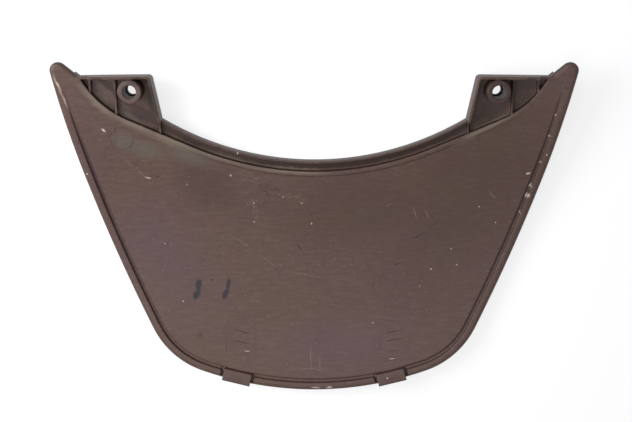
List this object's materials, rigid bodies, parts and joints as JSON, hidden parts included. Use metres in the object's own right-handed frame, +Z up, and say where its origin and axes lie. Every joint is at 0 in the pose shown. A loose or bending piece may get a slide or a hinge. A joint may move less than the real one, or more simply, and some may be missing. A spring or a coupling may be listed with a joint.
{
  "type": "scooter center cover",
  "caption": "Shallow dished plastic cover with a rounded rim, an arched cut-out between ears that carry screw bosses, and clip tongues on its bottom edge; it lies hollow side up",
  "frame": {"origin": "on the surface that the cover rests on, under the middle of its bounding box", "axes": "X across the cover, along its longest extent; Y from the bottom edge with the tongues towards the ears and horns; Z up, out of the hollow inner side"},
  "size_m": [0.24, 0.1626, 0.0248],
  "materials": {
    "shell": "moulded inner side, satin, scuffed and dusty"
  },
  "bodies": {
    "root": {"center_cover": "shell"}
  },
  "joints": []
}
